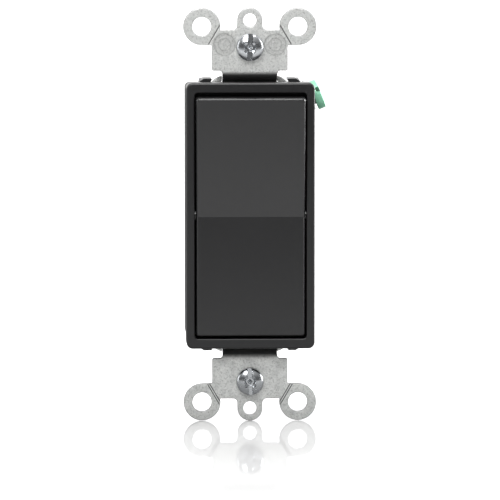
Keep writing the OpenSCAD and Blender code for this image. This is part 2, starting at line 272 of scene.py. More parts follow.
def fill_cap(mesh, rims, height, extra, add):
    """Triangulate between the rims. height(x, y) is the cap's z in the slab's own frame."""
    points, edges, verts = [], [], []
    for outline, row in rims:
        start = len(points)
        points += [Vector(point) for point in outline]
        verts += row
        edges += [(start + i, start + (i + 1) % len(outline)) for i in range(len(outline))]
    outlines = [outline for outline, _ in rims]
    for point in extra:
        if (inside(point, outlines)
                and min(math.dist(point, q) for line in outlines for q in line) > CAP_GAP):
            points.append(Vector(point))
            verts.append(None)
    places, _, faces, sources, _, _ = delaunay_2d_cdt(points, edges, [], 0, 1e-7)
    made = []
    for place, source in zip(places, sources):
        known = [verts[k] for k in source if verts[k] is not None]
        made.append(known[0] if known else add(place.x, place.y, height(place.x, place.y)))
    for face in faces:
        centre = sum((places[i] for i in face), Vector((0, 0))) / len(face)
        if inside((centre.x, centre.y), outlines):
            # a sliver whose corners were merged can't be made into a face
            try:
                mesh.faces.new([made[i] for i in face])
            except ValueError:
                pass


def slab(outer, holes, low, high, place, low_round, high_round, steps,
         hole_round=None, extra=(), relief=None):
    """A plate with rounded rims. Its outlines are in x, y and its faces at z = low and high;
    place(x, y, z) moves a point into the model. low_round and high_round are the rim radii,
    and hole_round replaces low_round at the holes. relief(x, y) is added to z on the low
    face, and extra are points inside the caps."""
    mesh = bmesh.new()
    hole_round = low_round if hole_round is None else hole_round
    loops = [(outer, False, low_round)] + [(hole, True, hole_round) for hole in holes]
    angles = [math.pi / 2 * i / steps for i in range(steps + 1)]
    low_rims, high_rims = [], []

    def add(x, y, z):
        return mesh.verts.new([value * MILLI for value in place(x, y, z)])

    def low_height(x, y):
        return low + (relief(x, y) if relief else 0.0)

    for points, is_hole, radius in loops:
        normals = corner_normals(points, is_hole)
        rings = [(inset(points, normals, radius * (1 - math.sin(angle))),
                  low + radius * (1 - math.cos(angle))) for angle in angles]
        rings += [(inset(points, normals, high_round * (1 - math.cos(angle))),
                   high - high_round * (1 - math.sin(angle))) for angle in angles]
        low_ring = rings[0][0]
        rows = [[add(x, y, low_height(x, y)) for x, y in low_ring]]
        rows += [[add(x, y, z) for x, y in ring] for ring, z in rings[1:]]
        bridge_rows(mesh, rows, flip=True)
        low_rims.append((low_ring, rows[0]))
        high_rims.append((rings[-1][0], rows[-1]))
    fill_cap(mesh, low_rims, low_height, extra, add)
    fill_cap(mesh, high_rims, lambda x, y: high, extra, add)
    loose = [vert for vert in mesh.verts if not vert.link_faces]
    bmesh.ops.delete(mesh, geom=loose, context="VERTS")
    return mesh


def upright(x, z, y):
    """Places a slab whose outline is in X, Z and whose depth is along Y."""
    return (x, y, z)


# ---------------------------------------------------------------- round parts
THREAD_PITCH, THREAD_DEPTH, ROWS_PER_TURN = 0.794, 0.40, 9


def turned_ring(mesh, radii, height, origin, axis):
    """A ring of vertices round the axis, one for each radius."""
    axis = Vector(axis).normalized()
    side = axis.orthogonal().normalized()
    other = axis.cross(side)
    ring = []
    for i, radius in enumerate(radii):
        turn = math.tau * i / len(radii)
        spoke = side * math.cos(turn) + other * math.sin(turn)
        ring.append(mesh.verts.new((Vector(origin) + axis * height + spoke * radius) * MILLI))
    return ring


def lathe(profile, count, origin, axis):
    """profile is (radius, height) from pole to pole; height runs along axis."""
    mesh = bmesh.new()
    rows = [turned_ring(mesh, [radius] * (1 if radius < 1e-6 else count), height, origin, axis)
            for radius, height in profile]
    for first, second in zip(rows, rows[1:]):
        if len(first) == len(second):
            bridge(mesh, first, second)
            continue
        for i in range(count):
            j = (i + 1) % count
            if len(first) == 1:
                mesh.faces.new((first[0], second[i], second[j]))
            else:
                mesh.faces.new((first[i], second[0], first[j]))
    return mesh


def threaded(radius, start, end, origin, axis, count, tip, neck_radius, neck_start):
    """A plain neck, then a helical thread from start to end along axis, tapered over tip."""
    mesh = bmesh.new()
    rows = []
    steps = int((end - start) / THREAD_PITCH * ROWS_PER_TURN)
    for k in range(steps + 1):
        height = start + (end - start) * k / steps
        fade = min(1.0, (height - start) / (0.6 * THREAD_PITCH))
        radii = []
        for i in range(count):
            phase = (height / THREAD_PITCH - i / count) % 1.0
            crest = smoothstep((abs(2 * phase - 1) - 0.12) / 0.74)     # 1 on the crest
            local = radius - THREAD_DEPTH * (1 - crest) * fade
            if end - height < tip:
                local = min(local, radius - (tip - (end - height)) * 0.75)
            radii.append(local)
        rows.append(turned_ring(mesh, radii, height, origin, axis))
    rows = [turned_ring(mesh, [neck_radius] * count, height, origin, axis)
            for height in (neck_start, start - 0.15)] + rows
    bridge_rows(mesh, rows)
    mesh.faces.new(rows[0])
    mesh.faces.new(list(reversed(rows[-1])))
    return mesh


def screw_head(radius, rim, dome, recess, origin, axis, up, rings, count):
    """Round head as a height field: rim is the height of the straight side, dome(r) the height
    above it and recess(x, y) a depth cut into the top, with y along up."""
    mesh = bmesh.new()
    axis = Vector(axis).normalized()
    up = Vector(up).normalized()
    side = up.cross(axis)
    edge_round = 0.12
    directions = [(math.cos(math.tau * i / count), math.sin(math.tau * i / count))
                  for i in range(count)]

    def top(r, x, y):
        return rim + dome(r) - recess(x, y)

    def add(x, y, height):
        point = Vector(origin) + axis * height + side * x + up * y
        return mesh.verts.new(point * MILLI)

    centre = mesh.verts.new((Vector(origin) + axis * top(0, 0, 0)) * MILLI)
    rows = []
    for i in range(1, rings + 1):
        r = radius * (i / rings)
        rows.append([add(r * x, r * y, top(r, r * x, r * y)) for x, y in directions])
    for i in range(count):
        mesh.faces.new((centre, rows[0][i], rows[0][(i + 1) % count]))
    rows.append([add(radius * x, radius * y,
                     min(edge_round, top(radius, radius * x, radius * y) - 0.02))
                 for x, y in directions])
    small = radius - edge_round
    rows.append([add(small * x, small * y, 0.0) for x, y in directions])
    bridge_rows(mesh, rows)
    mesh.faces.new(rows[-1])
    return mesh


# ---------------------------------------------------------------- shader nodes
def grey(value):
    return (value, value, value)


def scaled(colour, factor):
    return tuple(channel * factor for channel in colour)


class Net:
    """Builds nodes in one node tree."""

    def __init__(self, tree):
        self.tree = tree

    def new(self, kind):
        return self.tree.nodes.new(kind)

    def feed(self, socket, value):
        """Link an output to the socket, or set it to a number or an RGB colour."""
        if isinstance(value, bpy.types.NodeSocket):
            self.tree.links.new(value, socket)
        elif isinstance(value, tuple):
            socket.default_value = (*value, 1)
        else:
            socket.default_value = value

    def coords(self, scale=(1, 1, 1), rotation=(0, 0, 0)):
        source = self.new("ShaderNodeTexCoord")
        mapping = self.new("ShaderNodeMapping")
        mapping.inputs["Scale"].default_value = scale
        mapping.inputs["Rotation"].default_value = rotation
        self.feed(mapping.inputs["Vector"], source.outputs["Object"])
        return mapping.outputs["Vector"]

    def axes(self, vector):
        node = self.new("ShaderNodeSeparateXYZ")
        self.feed(node.inputs[0], vector)
        return node.outputs

    def noise(self, vector, scale, detail, roughness, distortion=0.0):
        node = self.new("ShaderNodeTexNoise")
        node.inputs["Scale"].default_value = scale
        node.inputs["Detail"].default_value = detail
        node.inputs["Roughness"].default_value = roughness
        node.inputs["Distortion"].default_value = distortion
        self.feed(node.inputs["Vector"], vector)
        return node.outputs["Fac"]

    def ramp(self, factor, stops):
        """stops are (position, RGB colour)."""
        node = self.new("ShaderNodeValToRGB")
        elements = node.color_ramp.elements
        while len(elements) < len(stops):
            elements.new(0.5)
        for i, (position, colour) in enumerate(stops):
            elements[i].position = position
            elements[i].color = (*colour, 1)
        self.feed(node.inputs["Fac"], factor)
        return node.outputs["Color"]

    def greys(self, factor, stops):
        """stops are (position, brightness)."""
        return self.ramp(factor, [(position, grey(value)) for position, value in stops])

    def remap(self, value, source=(0.0, 1.0), target=(0.0, 1.0)):
        node = self.new("ShaderNodeMapRange")
        node.inputs["From Min"].default_value = source[0]
        node.inputs["From Max"].default_value = source[1]
        node.inputs["To Min"].default_value = target[0]
        node.inputs["To Max"].default_value = target[1]
        self.feed(node.inputs["Value"], value)
        return node.outputs["Result"]

    def mix(self, first, second, factor, blend="MIX"):
        node = self.new("ShaderNodeMix")
        node.data_type = "RGBA"
        node.blend_type = blend
        # in the node's list the colour sockets are 6 and 7, and the colour result is 2
        for i, value in ((0, factor), (6, first), (7, second)):
            self.feed(node.inputs[i], value)
        return node.outputs[2]

    def multiply(self, first, second, factor=1.0):
        return self.mix(first, second, factor, blend="MULTIPLY")

    def maths(self, operation, *values):
        node = self.new("ShaderNodeMath")
        node.operation = operation
        for socket, value in zip(node.inputs, values):
            self.feed(socket, value)
        return node.outputs[0]

    def bump(self, height, strength, distance, below=None):
        node = self.new("ShaderNodeBump")
        node.inputs["Strength"].default_value = strength
        node.inputs["Distance"].default_value = distance
        self.feed(node.inputs["Height"], height)
        if below is not None:
            self.feed(node.inputs["Normal"], below)
        return node.outputs["Normal"]

    def edge_wear(self, source):
        """0 to 1 as the pointiness runs over source."""
        geometry = self.new("ShaderNodeNewGeometry")
        return self.remap(geometry.outputs["Pointiness"], source=source)


def new_material(name, base, metallic, roughness):
    """The material, its node builder and its shader's inputs."""
    material = bpy.data.materials.new(name)
    material.use_nodes = True
    shader = material.node_tree.nodes["Principled BSDF"].inputs
    shader["Base Color"].default_value = (*base, 1)
    shader["Metallic"].default_value = metallic
    shader["Roughness"].default_value = roughness
    return material, Net(material.node_tree), shader


# ---------------------------------------------------------------- materials
DISCS = ((-6.3, 42.35), (6.3, 42.35))       # centres of the two coined discs, X and Z
DISC_RINGS = [                              # outward from a disc's centre: position, brightness
    (0.0, 0.92), (0.10, 0.80), (0.20, 0.90), (0.33, 0.86), (0.385, 0.62),
    (0.45, 0.88), (0.60, 0.84), (0.665, 0.58), (0.72, 0.92), (0.78, 1.0)]


def plastic(name, base, roughness, grain, grain_scale=4200, smudge=0.06, specular=0.5,
            vary=0.12):
    """smudge and vary are the swings in roughness and colour; grain is the bump strength."""
    material, net, shader = new_material(name, base, 0.0, roughness)
    where = net.coords()
    patches = net.noise(where, scale=90, detail=3, roughness=0.5)
    fine = net.noise(where, scale=900, detail=3, roughness=0.6)
    colour = net.mix(scaled(base, 1 - vary), scaled(base, 1 + vary), patches)
    net.feed(shader["Base Color"], colour)
    net.feed(shader["Roughness"], net.remap(
        fine, source=(0.3, 0.7), target=(roughness - smudge, roughness + smudge)))
    shader["Specular IOR Level"].default_value = specular
    pits = net.noise(where, scale=grain_scale, detail=2, roughness=0.5)
    net.feed(shader["Normal"], net.bump(pits, strength=grain, distance=0.00002))
    return material


def disc_rings(net, where, colour):
    """The coined discs are duller than the sheet round them, with darker rings."""
    wobble = net.noise(where, scale=700, detail=3, roughness=0.5)
    for x, z in DISCS:
        distance = net.new("ShaderNodeVectorMath")
        distance.operation = "DISTANCE"
        net.feed(distance.inputs[0], where)
        distance.inputs[1].default_value = (x * MILLI, -1.1 * MILLI, z * MILLI)
        wobble_reach = 0.0007
        radius = net.maths("MULTIPLY_ADD", wobble, wobble_reach, distance.outputs["Value"])
        share = net.remap(radius, source=(0.00035, 0.00435))
        colour = net.multiply(colour, net.greys(share, DISC_RINGS))
    return colour


def galvanised():
    material, net, shader = new_material("galvanised", (0.6, 0.61, 0.6), 0.88, 0.42)
    where = net.coords()
    cloud = net.noise(where, scale=260, detail=6, roughness=0.62, distortion=0.4)
    fine = net.noise(where, scale=2300, detail=4, roughness=0.70)
    spots = net.new("ShaderNodeTexVoronoi")
    spots.inputs["Scale"].default_value = 620
    net.feed(spots.inputs["Vector"], where)
    streak = net.noise(net.coords(scale=(1400, 1400, 60), rotation=(0, 0.25, 0)),
                       scale=1.0, detail=3, roughness=0.6)
    clouds = net.ramp(cloud, [(0.30, (0.58, 0.59, 0.58)), (0.50, (0.70, 0.71, 0.695)),
                              (0.70, (0.80, 0.81, 0.79))])
    specks = net.greys(fine, [(0.33, 0.50), (0.47, 0.88), (0.64, 1.0)])
    colour = net.multiply(clouds, specks, factor=0.9)
    dots = net.greys(spots.outputs["Distance"], [(0.0, 0.80), (0.35, 1)])
    colour = net.multiply(colour, dots, factor=0.35)
    worn = net.edge_wear(source=(0.505, 0.56))
    colour = net.mix(colour, (0.80, 0.80, 0.79), net.remap(worn, target=(0.0, 0.45)))
    colour = disc_rings(net, where, colour)
    # faces turned away from the front get a dark grey colour and more roughness: the punched
    # edges are duller than the rolled faces, and on the walls of the score lines and on the
    # sheet's bends the dark grey is painted shade
    normal = net.axes(net.new("ShaderNodeTexCoord").outputs["Normal"])
    face = net.remap(net.maths("ABSOLUTE", normal["Y"]), source=(0.80, 0.985))
    net.feed(shader["Base Color"], net.mix(grey(0.17), colour, face))
    face_roughness = net.remap(cloud, source=(0.3, 0.7), target=(0.52, 0.38))
    edge_roughness = 0.62
    roughness = net.new("ShaderNodeMix")
    for i, value in ((0, face), (2, edge_roughness), (3, face_roughness)):
        net.feed(roughness.inputs[i], value)
    net.feed(shader["Roughness"], roughness.outputs[0])
    normal = net.bump(fine, strength=0.35, distance=0.00003)
    normal = net.bump(cloud, strength=0.30, distance=0.00010, below=normal)
    normal = net.bump(streak, strength=0.10, distance=0.00003, below=normal)
    net.feed(shader["Normal"], normal)
    return material


def zinc(name, base, roughness, vary):
    """vary is how far the roughness rises in patches."""
    material, net, shader = new_material(name, base, 1.0, roughness)
    where = net.coords()
    patches = net.noise(where, scale=420, detail=4, roughness=0.6)
    fine = net.noise(where, scale=1900, detail=4, roughness=0.6)
    colour = net.mix(scaled(base, 0.84), scaled(base, 1.06), patches)
    net.feed(shader["Base Color"], colour)
    net.feed(shader["Roughness"], net.remap(
        fine, source=(0.3, 0.75), target=(roughness - 0.04, roughness + vary)))
    net.feed(shader["Normal"], net.bump(fine, strength=0.12, distance=0.00003))
    return material


def streaked_metal(name, base, roughness):
    material, net, shader = new_material(name, base, 1.0, roughness)
    patches = net.noise(net.coords(), scale=160, detail=4, roughness=0.6)
    streak = net.noise(net.coords(scale=(300, 300, 2600)), scale=1.0, detail=3, roughness=0.6)
    net.feed(shader["Base Color"], net.mix(scaled(base, 0.75), base, patches))
    net.feed(shader["Roughness"], net.remap(
        streak, source=(0.3, 0.7), target=(roughness - 0.06, roughness + 0.12)))
    net.feed(shader["Normal"], net.bump(streak, strength=0.15, distance=0.00003))
    return material


def green_zinc():
    material, net, shader = new_material("green_zinc", (0.12, 0.34, 0.21), 0.14, 0.34)
    where = net.coords()
    patches = net.noise(where, scale=300, detail=4, roughness=0.6)
    fine = net.noise(where, scale=1500, detail=4, roughness=0.6)
    colour = net.ramp(patches, [(0.3, (0.13, 0.46, 0.26)), (0.55, (0.19, 0.55, 0.34)),
                                (0.8, (0.28, 0.64, 0.43))])
    worn = net.edge_wear(source=(0.52, 0.60))
    colour = net.mix(colour, (0.35, 0.62, 0.48), net.remap(worn, target=(0.0, 0.5)))
    # painted shade: the slot and the head's other hollows are darkened by ambient occlusion
    occlusion = net.new("ShaderNodeAmbientOcclusion")
    occlusion.samples = 8
    occlusion.only_local = True
    occlusion.inputs["Distance"].default_value = 0.0016
    unshaded_share = net.remap(occlusion.outputs["AO"], source=(0.55, 0.95))
    net.feed(shader["Base Color"], net.mix((0.02, 0.10, 0.05), colour, unshaded_share))
    net.feed(shader["Roughness"], net.remap(fine, source=(0.3, 0.7), target=(0.36, 0.52)))
    net.feed(shader["Normal"], net.bump(fine, strength=0.15, distance=0.00003))
    return material


def fibre(name, base):
    material, net, shader = new_material(name, base, 0.0, 0.75)
    strands = net.noise(net.coords(scale=(900, 900, 220)),
                        scale=1.0, detail=5, roughness=0.7, distortion=1.0)
    net.feed(shader["Base Color"], net.mix(scaled(base, 0.6), scaled(base, 1.35), strands))
    net.feed(shader["Normal"], net.bump(strands, strength=0.4, distance=0.00004))
    return material


PADDLE_PLASTIC = plastic("paddle_plastic", (0.0100, 0.0100, 0.0105), roughness=0.24,
                         grain=0.05, smudge=0.015, specular=0.46)
FRAME_PLASTIC = plastic("frame_plastic", (0.0085, 0.0085, 0.009), roughness=0.34,
                        grain=0.10, smudge=0.03, specular=0.42)
CASE_PLASTIC = plastic("case_plastic", (0.016, 0.016, 0.017), roughness=0.55,
                       grain=0.25, grain_scale=2600, smudge=0.08)
STEEL = galvanised()
BRIGHT_ZINC = zinc("bright_zinc", (0.44, 0.455, 0.47), roughness=0.20, vary=0.10)
DULL_ZINC = zinc("dull_zinc", (0.66, 0.67, 0.68), roughness=0.28, vary=0.14)
GREEN = green_zinc()
BRASS = streaked_metal("brass", (0.80, 0.58, 0.27), roughness=0.28)
SILVER = streaked_metal("silver", (0.88, 0.87, 0.85), roughness=0.25)
SPRING_STEEL = streaked_metal("spring_steel", (0.60, 0.61, 0.64), roughness=0.26)
NYLON = plastic("white_nylon", (0.78, 0.78, 0.74), roughness=0.45, grain=0.05, vary=0.04)
RUBBER = plastic("stop_rubber", (0.02, 0.02, 0.02), roughness=0.75,
                 grain=0.3, grain_scale=2000)
FIBRE = fibre("fibre_washer", (0.42, 0.20, 0.09))
FIBRE_SHEET = fibre("insulating_fibre", (0.035, 0.032, 0.030))


# ---------------------------------------------------------------- strap ends
END_X = 9.4                             # half width of an end beside the box screw
EAR_X, EAR_Z, EAR_R, EAR_HOLE_R = 11.95, 46.85, 4.588, 2.4
# the S-bend from the end plate back to the centre section
NECK_TOP, NECK_DROP, NECK_STEPS = 35.7, 3.1, 400
NECK_SHIFT = MID_Y + STRAP_T / 2
# the score line across each ear's root, from its foot to its head
SCORES = [((10.4, 42.2), (7.45, 47.25)), ((-10.4, 42.2), (-7.45, 47.25))]
# rows of cap points beside a score: one groove at the top end, two at the bottom end
ONE_GROOVE = (-0.5, -0.3, -0.2, -0.1, 0.0, 0.1, 0.2, 0.3, 0.5)
TWO_GROOVES = (-0.5, -0.37, -0.31, -0.25, -0.19, -0.13, 0.0,
               0.13, 0.19, 0.25, 0.31, 0.37, 0.5)
GRID, SCORE_STEP, DISC_STEP = 0.45, 0.16, 0.15      # spacing of the cap points


def neck_stations():
    """Down the neck's mid surface: arc length, y, z and the unit vector to the front face."""
    stations = []
    length = 0.0
    for i in range(NECK_STEPS + 1):
        share = i / NECK_STEPS
        y = -STRAP_T / 2 + NECK_SHIFT * (share * share * (3 - 2 * share))
        z = NECK_TOP - NECK_DROP * share
        dy, dz = NECK_SHIFT * 6 * share * (1 - share), -NECK_DROP
        slope = math.hypot(dy, dz)
        if stations:
            length += math.hypot(y - stations[-1][1], z - stations[-1][2])
        stations.append((length, y, z, dz / slope, -(dy / slope)))
    return stations


NECK = neck_stations()
NECK_LENGTHS = [station[0] for station in NECK]
NECK_LEN = NECK_LENGTHS[-1]


def neck_place(x, flat_z, depth):
    """From the flat sheet, whose depth runs from -STRAP_T to 0, to the bent one."""
    if flat_z >= NECK_TOP:
        return (x, depth, flat_z)
    length = NECK_TOP - flat_z
    forward = -(depth + STRAP_T / 2)
    if length >= NECK_LEN:
        forward *= 0.94                     # the tail lies just inside the centre section
        return (x, MID_Y - forward, NECK_TOP - NECK_DROP - (length - NECK_LEN))
    k = bisect_left(NECK_LENGTHS, length) - 1
    share = (length - NECK[k][0]) / (NECK[k + 1][0] - NECK[k][0])
    y, z, normal_y, normal_z = [before + (after - before) * share
                                for before, after in zip(NECK[k][1:], NECK[k + 1][1:])]
    size = math.hypot(normal_y, normal_z)
    return (x, y + forward * normal_y / size, z + forward * normal_z / size)


def end_outline():
    """The flat outline of the top end: its right half from the tail up, then the mirror."""
    foot = NECK_TOP - NECK_LEN
    right = [(5.65, foot - 1.1), (5.65, foot + 0.1), (5.72, foot + 0.45),
             (6.0, foot + 0.80), (6.4, foot + 0.97), (6.8, foot + 1.0)]
    right += arc(7.6, 35.1, 0.8, 180, 90)
    right += arc(9.0, 36.3, 0.4, -90, 0, 15)
    right += [(END_X, 41.9)] + arc(9.7, 41.9, 0.3, 180, 90, 20)
    right += arc(EAR_X, EAR_Z, EAR_R, -90, 190.5, 4.5)
    right += [(7.378, 46.0)]
    right += arc(4.2, 47.1, 1.1, 270, 180, 8)
    right += arc(0, PLATE_Z, 3.088, 0, 90, 5)
    return densify(clean(right + mirror_x(right)), 0.42)


def score_direction(start, end):
    length = math.dist(start, end)
    return length, (end[0] - start[0]) / length, (end[1] - start[1]) / length


def end_points(top):
    """Cap points: a wavy grid, rows beside the scores and, at the top, rings on the discs."""
    points = []
    x = -17.0
    while x <= 17.0:
        z = 30.0
        while z <= 52.0:
            points.append((x + 0.013 * math.sin(z * 7.1), z + 0.013 * math.cos(x * 5.3)))
            z += GRID
        x += GRID
    for start, end in SCORES:
        length, dir_x, dir_z = score_direction(start, end)
        for i in range(-2, int(length / SCORE_STEP) + 3):
            for offset in ONE_GROOVE if top else TWO_GROOVES:
                points.append((start[0] + dir_x * i * SCORE_STEP - dir_z * offset,
                               start[1] + dir_z * i * SCORE_STEP + dir_x * offset))
    if top:
        for x, z in DISCS:
            radius = DISC_STEP
            while radius < 3.6:
                count = max(6, int(2 * math.pi * radius / 0.22))
                for i in range(count):
                    turn = 2 * math.pi * (i + 0.5 * (int(radius * 7) % 2)) / count
                    points.append((x + radius * math.cos(turn), z + radius * math.sin(turn)))
                radius += DISC_STEP
    # where points crowd together, keep the latest
    cell = 0.045
    seen, kept = set(), []
    for point in reversed(points):
        key = (round(point[0] / cell), round(point[1] / cell))
        if key not in seen:
            seen.add(key)
            kept.append(point)
    return kept


def groove(distance, half_width):
    """1 in the middle of a V groove, 0 outside it."""
    return max(0.0, 1 - abs(distance) / half_width)


def end_relief(top):
    """How far the front face is pressed in at a point."""
    def wave(x, z, scale, seed):
        return noise.noise(Vector((x * scale, z * scale, seed)))

    def relief(x, z):
        depth = 0.0
        for start, end in SCORES:
            distance = segment_distance((x, z), start, end)
            if distance < 0.45:
                if top:
                    depth += 0.15 * groove(distance, 0.18)
                else:
                    _, dir_x, dir_z = score_direction(start, end)
                    offset = (x - start[0]) * -dir_z + (z - start[1]) * dir_x
                    depth += 0.16 * max(groove(offset - 0.25, 0.12), groove(offset + 0.25, 0.12))
        if top:
            for disc_x, disc_z in DISCS:
                radius = math.hypot(x - disc_x, z - disc_z)
                if radius < 3.4:
                    # a sunk disc with a raised ring and an uneven floor
                    wobble = 0.16 * wave(x, z, 0.9, 5.0)
                    depth += 0.055 * smoothstep((3.0 + wobble - radius) / 0.80)
                    depth -= 0.030 * math.exp(-((radius + wobble - 1.75) / 0.40) ** 2)
                    depth += 0.020 * wave(x, z, 1.7, 8.0) * smoothstep((2.8 - radius) / 0.5)
        # the sheet isn't quite flat
        return depth + 0.018 * wave(x, z, 0.35, 3.1 if top else 9.7)

    return relief


def make_end(top):
    holes = [circle(0, PLATE_Z, 1.7, 44),
             circle(EAR_X, EAR_Z, EAR_HOLE_R, 52), circle(-EAR_X, EAR_Z, EAR_HOLE_R, 52),
             obround(0, BOX_Z, 3.1, 2.05)]
    side = 1 if top else -1

    def place(x, flat_z, depth):
        x, y, z = neck_place(x, flat_z, depth)
        return (x, y, side * z)

    mesh = slab(end_outline(), holes, -STRAP_T, 0.0, place, low_round=0.16, high_round=0.05,
                steps=4, hole_round=0.14, extra=end_points(top), relief=end_relief(top))
    return new_object("strap_end", mesh, STEEL)


# ---------------------------------------------------------------- strap centre and tab
TAB_BEND, TAB_RADIUS = 24.0, 1.0        # start of the tab's bend; its mid-surface radius
TAB_BACK_Y = MID_Y + TAB_RADIUS         # where the bend ends and the tab runs straight back
BEND_LEN = math.pi / 2 * TAB_RADIUS


def mid_outline():
    """The upper right quarter, going up and in, then mirrored across and down."""
    right = [(14.6, 30.8)]
    right += arc(13.6, 30.8, 1.0, 0, 90, 15)
    right += arc(6.3, 30.8, 3.7, 15.7, 81.0, 5)
    right += [(6.88, 34.0)]
    right += arc(6.6, 32.3, 0.95, 72, -90, 12)
    right += [(5.9, 31.35), (5.6, 31.65), (5.6, 32.55)]
    upper = right + mirror_x(right)
    lower = [(x, -z) for x, z in reversed(upper)]
    return densify(clean(upper + lower), 1.2)


def make_mid():
    holes = [rounded_rect(18, 44, 1, 15)]
    holes += [circle(side * RIVET_X, end * RIVET_Z, 1.35, 32)
              for side in (-1, 1) for end in (-1, 1)]
    mesh = slab(mid_outline(), holes, MID_FRONT, MID_BACK, upright,
                low_round=0.12, high_round=0.04, steps=3, hole_round=0.10)
    return new_object("strap_mid", mesh, STEEL)


def tab_place(length, along, depth):
    """length runs over the sheet from the start of the bend, along the bend line, and
    depth through the sheet from its front or outer face."""
    forward = -depth
    if length < 0:
        out, y = TAB_BEND + length, MID_Y - forward
    elif length < BEND_LEN:
        angle = length / TAB_RADIUS
        out = TAB_BEND + math.sin(angle) * (TAB_RADIUS + forward)
        y = TAB_BACK_Y - math.cos(angle) * (TAB_RADIUS + forward)
    else:
        out, y = TAB_BEND + TAB_RADIUS + forward, TAB_BACK_Y + (length - BEND_LEN)
    cos, sin = math.cos(TAB_ANGLE), math.sin(TAB_ANGLE)
    return (out * cos - along * sin, y, out * sin + along * cos)


def make_tab():
    end = BEND_LEN + 9.9
    outline = clean([(-4.5, 17.5), (end - 1.2, 17.5)] + arc(end - 1.2, 18.7, 1.2, -90, 0, 12)
                    + arc(end - 1.2, 23.5, 1.2, 0, 90, 12) + [(-4.5, 24.7)])
    hole = circle(BEND_LEN + (GROUND_Y - TAB_BACK_Y), GROUND_ALONG, 2.12, 40)
    bend_points = [(0.08 * i, 17.6 + 0.5 * j) for i in range(-2, 22) for j in range(15)]
    mesh = slab(densify(outline, 0.2), [hole], -STRAP_T / 2, STRAP_T / 2, tab_place,
                low_round=0.12, high_round=0.05, steps=3, extra=bend_points)
    return new_object("strap_tab", mesh, STEEL)


strap = join("strap_sheet", [make_end(True), make_end(False), make_mid(), make_tab()])
smooth(strap, 42)
register(strap, "case", "strap")

# ---------------------------------------------------------------- frame
FRAME_FRONT, FRAME_BACK = -6.2, 2.0
# a clip seen from the front, in X and Z
CLIP_FACE = clean([(10.05, 31.6), (12.55, 31.6), (12.55, 32.85)]
                  + arc(12.05, 33.0, 0.5, 0, 45, 15) + arc(11.35, 33.5, 0.45, 50, 90, 15)
                  + arc(9.75, 33.65, 0.3, 90, 190, 20) + [(9.98, 32.75)])
# its arm behind the face keeps only the upper part
CLIP_ARM = clean([(10.1, 32.45), (12.5, 32.45)] + [(x, z) for x, z in CLIP_FACE if z > 32.6])
# its hook seen from the side, in Y and Z
CLIP_HOOK = clean([(2.2, 32.5), (2.2, 33.5)] + arc(8.0, 33.1, 0.7, 90, 0, 15)
                  + arc(8.8, 32.7, 0.2, 0, -40, 20)
                  + [(7.9, 31.15), (7.35, 31.15), (7.35, 32.5)])


def frame_place(x, z, y):
    """Bevels the back of the frame in the middle of its top and bottom."""
    if abs(x) < 7.4 and abs(z) > 32.2 and y > 0:
        y = min(y, 1.15 + (33.2 - abs(z)) * 0.9)
    return (x, y, z)


def make_clip(side, end):
    """One clip; side and end are the signs of its X and Z."""
    def from_front(x, z, y):
        return (side * x, y, end * z)

    def from_side(y, z, x):
        return (side * x, y, end * z)

    pieces = (("clip", CLIP_FACE, -0.9, 1.95, from_front, 0.14, 0.05),
              ("clip_arm", CLIP_ARM, 1.7, 8.2, from_front, 0.05, 0.30),
              ("clip_hook", CLIP_HOOK, 10.1, 12.45, from_side, 0.15, 0.15))
    return [new_object(name, slab(outline, [], low, high, place, low_round, high_round, steps=3),
                       FRAME_PLASTIC)
            for name, outline, low, high, place, low_round, high_round in pieces]


def make_frame():
    outer = densify(rounded_rect(31.9, 66.1, 1.6, 6), 1.5)
    opening = densify(rounded_rect(27.8, 61.1, 0.8, 9), 3.0)
    body = slab(outer, [opening], FRAME_FRONT, FRAME_BACK, frame_place,
                low_round=0.50, high_round=0.15, steps=7, hole_round=0.30)
    parts = [new_object("frame_body", body, FRAME_PLASTIC)]
    lip = slab(densify(rounded_rect(28.6, 61.9, 0.8, 12), 4),
               [rounded_rect(22.7, 53.7, 1.5, 12)], 0.4, 1.98, upright,
               low_round=0.1, high_round=0.1, steps=2)
    parts.append(new_object("frame_lip", lip, FRAME_PLASTIC))
    for end in (1, -1):
        for side in (1, -1):
            parts += make_clip(side, end)
    return join("frame_moulding", parts)


register(smooth(make_frame(), 45), "case", "frame")

# ---------------------------------------------------------------- paddle
FACE_SLOPE = math.tan(TILT)             # each half of the face comes forward from the crease
FACE_Y = -6.5                           # the crease
PADDLE_X, PADDLE_Z = 13.45, 29.7        # half sizes at the face
PADDLE_DEPTH = 5.5
FLARE = 0.3 / PADDLE_DEPTH              # the sides widen towards the back
EDGE_ACROSS, EDGE_BACK, EDGE_STEPS = 0.56, 0.80, 9      # reach of the rounded edge
# the wall and underside of the hollow: depth behind the face, inset
HOLLOW = [(5.5, 2.0), (5.3, 2.1), (1.9, 2.15), (1.75, 2.3)]
BOSS_PROFILE = [                        # radius, height towards the back
    (0, -5.0), (3.6, -5.0), (3.6, 5.85), (3.45, 6.0), (2.55, 6.0), (2.4, 5.85),
    (2.4, -4.3), (0, -4.3)]
TRUNNION_PROFILE = [(0, 11.75), (1.45, 11.75), (1.45, 15.15), (1.25, 15.35), (0, 15.35)]
RIB_Z = 27.6                            # half length of the long ribs


def tilt_point(point):
    x, y, z = point
    y -= PIVOT_Y
    cos, sin = math.cos(TILT), math.sin(TILT)
    return (x, PIVOT_Y + y * cos - z * sin, y * sin + z * cos)


def tilt_side(y, z, x):
    """Places a slab whose outline is in Y, Z and whose depth is along X, on the paddle."""
    return tilt_point((x, y, z))


def between(start, end, count):
    """The points inside a straight side split into count."""
    return [(start[0] + (end[0] - start[0]) * i / count,
             start[1] + (end[1] - start[1]) * i / count) for i in range(1, count)]


